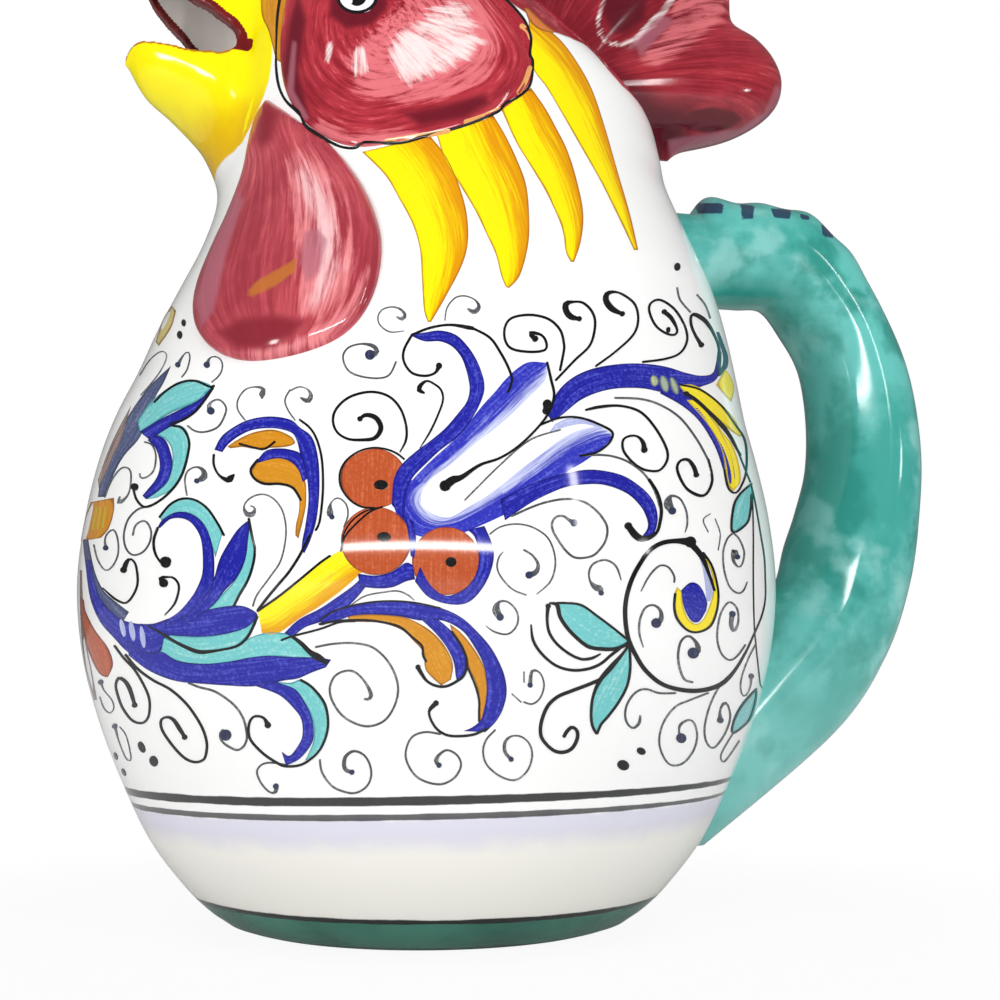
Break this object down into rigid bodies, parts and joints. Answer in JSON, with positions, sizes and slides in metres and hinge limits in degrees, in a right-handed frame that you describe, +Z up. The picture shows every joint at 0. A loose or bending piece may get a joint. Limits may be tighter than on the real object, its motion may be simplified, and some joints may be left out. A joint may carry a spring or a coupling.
{
  "type": "chicken pitcher",
  "caption": "Glazed earthenware pitcher shaped as a crowing rooster: egg-shaped belly, open beak as spout, lobed comb and a loop handle as tail.",
  "frame": {"origin": "centre of the foot ring's flat rest face", "axes": "+Z up along the body's axis, -X towards the beak, +X towards the handle, Y = 0 is the mirror plane"},
  "size_m": [0.2086, 0.1594, 0.267],
  "materials": {
    "white_glaze": "gloss tin glaze, warm white",
    "yellow_glaze": "gloss, brushed yellow shading to ochre",
    "crimson_glaze": "gloss, crimson brushed thin over white",
    "teal_glaze": "gloss, teal mottled light and dark",
    "cobalt_paint": "cobalt brush strokes under gloss glaze",
    "turquoise_paint": "pale turquoise brush strokes under gloss glaze",
    "orange_paint": "orange brown brush strokes under gloss glaze",
    "black_line": "fine black brush lines under gloss glaze"
  },
  "bodies": {
    "root": {"body": "white_glaze", "head": "white_glaze", "upper_beak": "yellow_glaze", "lower_beak": "yellow_glaze", "crest": "crimson_glaze", "handle": "teal_glaze", "wattle_left": "crimson_glaze", "wattle_right": "crimson_glaze", "cheek_left": "crimson_glaze", "cheek_right": "crimson_glaze"}
  },
  "joints": []
}
